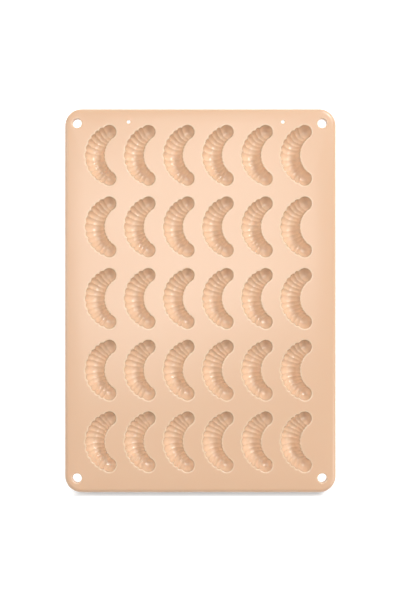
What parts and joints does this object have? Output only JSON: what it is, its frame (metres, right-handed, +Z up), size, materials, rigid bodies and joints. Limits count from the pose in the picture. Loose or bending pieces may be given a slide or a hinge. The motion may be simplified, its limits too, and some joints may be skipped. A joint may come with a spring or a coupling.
{
  "type": "croissant mould",
  "caption": "Flat silicone baking mould with ribbed crescent cavities for small croissants, a rolled rim and corner eyelets.",
  "frame": {"origin": "on the ground under the middle of the sheet", "axes": "+Z up, out of the cavities; +Y along the long side, towards the edge with the two pin holes; +X across, with the tips of the crescents pointing to +X"},
  "size_m": [0.2604, 0.3686, 0.014],
  "materials": {
    "silicone": "satin"
  },
  "bodies": {
    "root": {"cavity_r1_c1": "silicone", "cavity_r1_c2": "silicone", "cavity_r1_c3": "silicone", "cavity_r1_c4": "silicone", "cavity_r1_c5": "silicone", "cavity_r1_c6": "silicone", "cavity_r2_c1": "silicone", "cavity_r2_c2": "silicone", "cavity_r2_c3": "silicone", "cavity_r2_c4": "silicone", "cavity_r2_c5": "silicone", "cavity_r2_c6": "silicone", "cavity_r3_c1": "silicone", "cavity_r3_c2": "silicone", "cavity_r3_c3": "silicone", "cavity_r3_c4": "silicone", "cavity_r3_c5": "silicone", "cavity_r3_c6": "silicone", "cavity_r4_c1": "silicone", "cavity_r4_c2": "silicone", "cavity_r4_c3": "silicone", "cavity_r4_c4": "silicone", "cavity_r4_c5": "silicone", "cavity_r4_c6": "silicone", "cavity_r5_c1": "silicone", "cavity_r5_c2": "silicone", "cavity_r5_c3": "silicone", "cavity_r5_c4": "silicone", "cavity_r5_c5": "silicone", "cavity_r5_c6": "silicone", "rim_left": "silicone", "rim_right": "silicone", "rim_back": "silicone", "rim_front": "silicone", "eyelet_back_left": "silicone", "eyelet_back_right": "silicone", "eyelet_front_left": "silicone", "eyelet_front_right": "silicone"}
  },
  "joints": []
}
